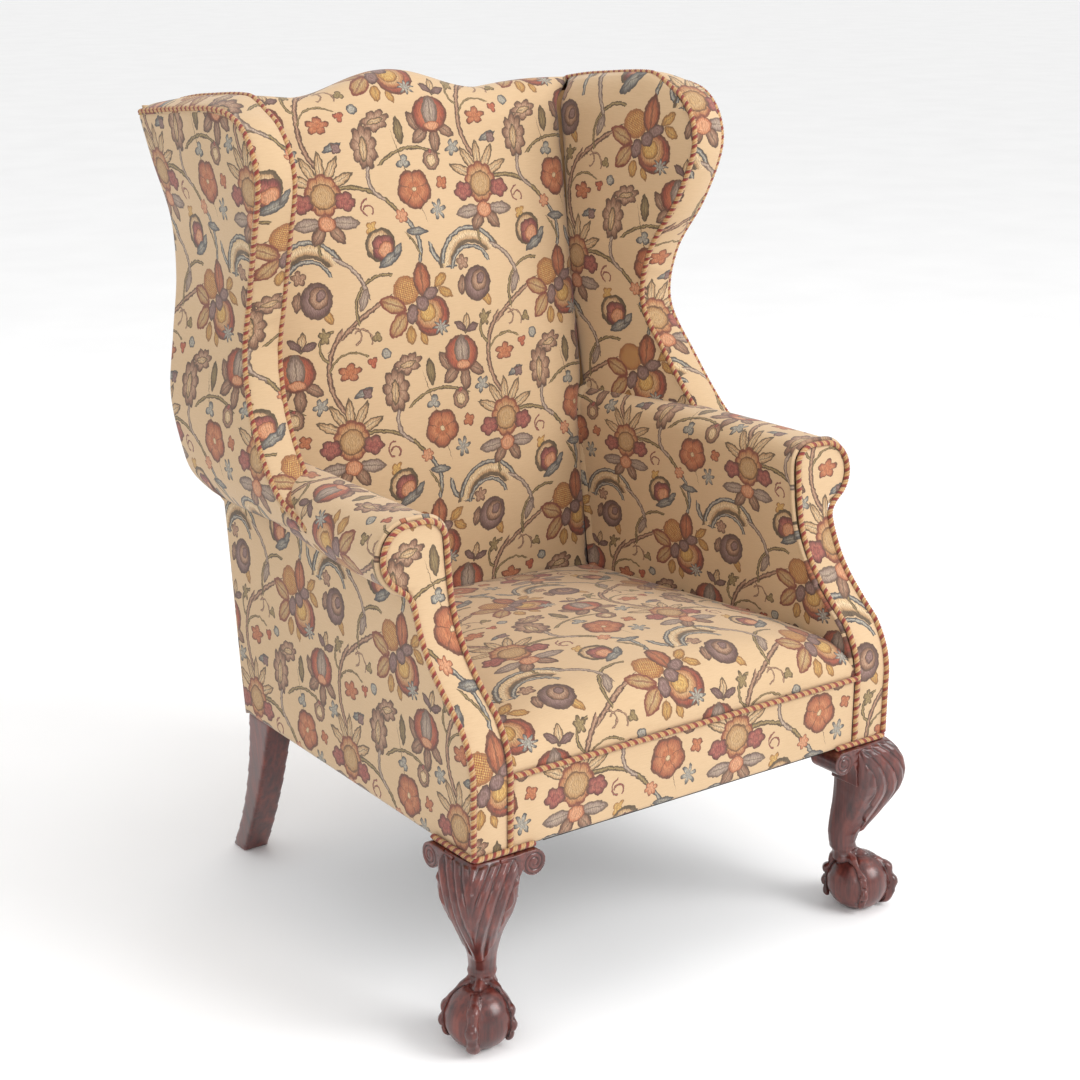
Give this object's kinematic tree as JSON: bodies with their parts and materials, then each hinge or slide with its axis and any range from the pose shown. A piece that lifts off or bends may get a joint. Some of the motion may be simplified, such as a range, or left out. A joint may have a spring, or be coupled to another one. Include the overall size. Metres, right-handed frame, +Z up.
{
  "type": "wing armchair",
  "caption": "Upholstered wing armchair with rolled arms, tight crowned seat, rope piping, carved claw-and-ball front legs and plain raked rear legs.",
  "frame": {"origin": "floor level, under the middle of the chair's overall box", "axes": "+Z up, the chair faces -Y, +X is the left side of a person sitting in it"},
  "size_m": [0.7854, 0.7766, 1.1425],
  "materials": {
    "show_wood": "satin",
    "frame_wood": "matte",
    "cover_fabric": "matte",
    "rope_piping": "matte",
    "webbing": "matte",
    "hessian": "matte",
    "stuffing": "matte",
    "dust_cloth": "matte"
  },
  "bodies": {
    "root": {"arm_facing_left": "cover_fabric", "arm_facing_right": "cover_fabric", "arm_pad_left": "cover_fabric", "arm_pad_right": "cover_fabric", "arm_post_left": "frame_wood", "arm_post_right": "frame_wood", "arm_rail_left": "frame_wood", "arm_rail_right": "frame_wood", "arm_tacking_rail_left": "frame_wood", "arm_tacking_rail_right": "frame_wood", "back_hessian": "hessian", "back_post_left": "frame_wood", "back_post_right": "frame_wood", "back_webbing": "webbing", "corner_blocks": "frame_wood", "crest_rail": "frame_wood", "dust_cover": "dust_cloth", "frame_dowels": "frame_wood", "front_leg_left": "show_wood", "front_leg_right": "show_wood", "front_seat_rail": "frame_wood", "inside_back_pad": "cover_fabric", "inside_wing_pad_left": "cover_fabric", "inside_wing_pad_right": "cover_fabric", "knee_brackets_left": "show_wood", "knee_brackets_right": "show_wood", "lower_back_rail": "frame_wood", "outside_arm_left": "cover_fabric", "outside_arm_right": "cover_fabric", "outside_back": "cover_fabric", "outside_wing_left": "cover_fabric", "outside_wing_right": "cover_fabric", "piping_arm_left": "rope_piping", "piping_arm_right": "rope_piping", "piping_leg_tops": "rope_piping", "piping_seat_front": "rope_piping", "piping_wing_left": "rope_piping", "piping_wing_right": "rope_piping", "rear_leg_left": "show_wood", "rear_leg_right": "show_wood", "rear_seat_rail": "frame_wood", "seat_front_border": "cover_fabric", "seat_hessian": "hessian", "seat_pad": "cover_fabric", "seat_stuffing": "stuffing", "seat_webbing": "webbing", "side_seat_rail_left": "frame_wood", "side_seat_rail_right": "frame_wood", "wing_facing_left": "cover_fabric", "wing_facing_right": "cover_fabric", "wing_post_left": "frame_wood", "wing_post_right": "frame_wood", "wing_top_rail_left": "frame_wood", "wing_top_rail_right": "frame_wood"}
  },
  "joints": []
}
